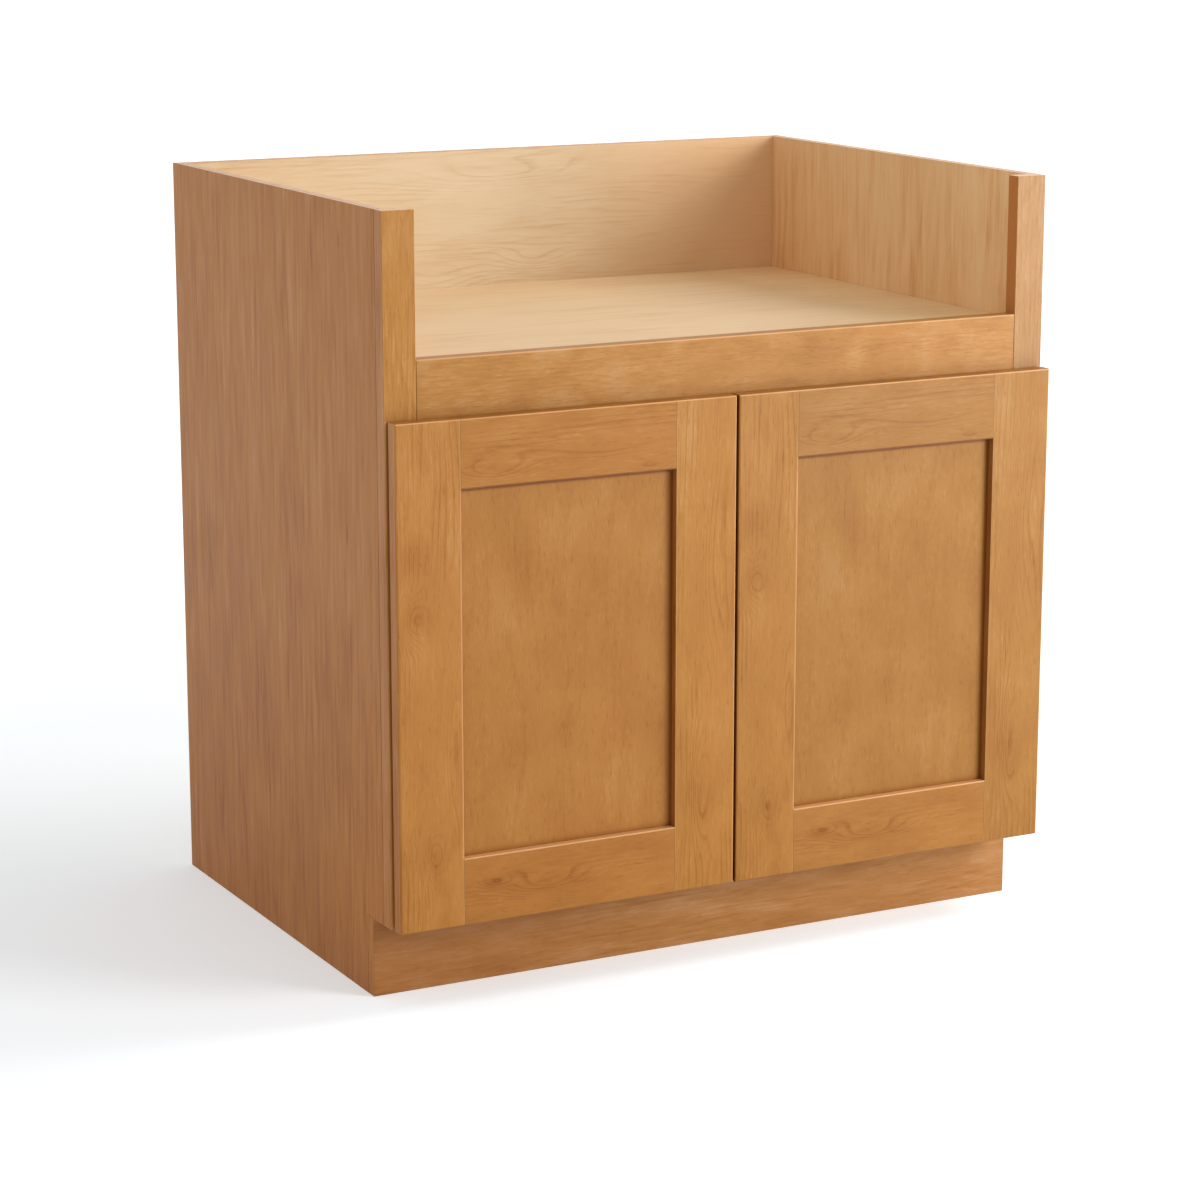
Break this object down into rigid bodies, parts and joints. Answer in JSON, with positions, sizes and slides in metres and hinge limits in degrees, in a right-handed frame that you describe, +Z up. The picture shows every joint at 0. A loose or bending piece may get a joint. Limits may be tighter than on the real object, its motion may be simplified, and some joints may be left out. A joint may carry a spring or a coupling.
{
  "type": "sink base cabinet",
  "caption": "Face-frame base cabinet for an apron-front sink, with a low apron rail, an inner sink deck, flat-panel doors on concealed hinges and a recessed toe kick.",
  "frame": {"origin": "on the floor, under the middle of the cabinet with its doors closed", "axes": "+X to the right as seen from the front, +Y from the doors to the back, +Z up"},
  "size_m": [0.8382, 0.6322, 0.8763],
  "materials": {
    "stained_wood": "satin",
    "bare_wood": "satin",
    "hinge_steel": "satin",
    "bumper_rubber": "satin"
  },
  "bodies": {
    "cabinet": {"left_side_panel": "stained_wood", "right_side_panel": "stained_wood", "toe_kick_board": "stained_wood", "left_stile": "stained_wood", "right_stile": "stained_wood", "apron_rail": "stained_wood", "bottom_rail": "stained_wood", "back_panel": "bare_wood", "floor_panel": "bare_wood", "sink_deck": "bare_wood", "front_cleat": "bare_wood", "back_cleat": "bare_wood", "left_cleat": "bare_wood", "right_cleat": "bare_wood", "left_lower_hinge_arm": "hinge_steel", "left_upper_hinge_arm": "hinge_steel", "right_lower_hinge_arm": "hinge_steel", "right_upper_hinge_arm": "hinge_steel"},
    "left_door": {"left_door_hinge_stile": "stained_wood", "left_door_lock_stile": "stained_wood", "left_door_top_rail": "stained_wood", "left_door_bottom_rail": "stained_wood", "left_door_panel": "stained_wood", "left_door_lower_bumper": "bumper_rubber", "left_door_upper_bumper": "bumper_rubber", "left_lower_hinge_cup": "hinge_steel", "left_lower_hinge_pin": "hinge_steel", "left_upper_hinge_cup": "hinge_steel", "left_upper_hinge_pin": "hinge_steel"},
    "right_door": {"right_door_hinge_stile": "stained_wood", "right_door_lock_stile": "stained_wood", "right_door_top_rail": "stained_wood", "right_door_bottom_rail": "stained_wood", "right_door_panel": "stained_wood", "right_door_lower_bumper": "bumper_rubber", "right_door_upper_bumper": "bumper_rubber", "right_lower_hinge_cup": "hinge_steel", "right_lower_hinge_pin": "hinge_steel", "right_upper_hinge_cup": "hinge_steel", "right_upper_hinge_pin": "hinge_steel"}
  },
  "joints": [
    {"name": "left_door_hinge", "type": "hinge", "parent": "cabinet", "child": "left_door", "pos_m": [-0.4075, -0.30583, 0.37275], "axis": [0, 0, -1], "range_deg": [0, 105]},
    {"name": "right_door_hinge", "type": "hinge", "parent": "cabinet", "child": "right_door", "pos_m": [0.4075, -0.30583, 0.37275], "axis": [0, 0, 1], "range_deg": [0, 105]}
  ]
}
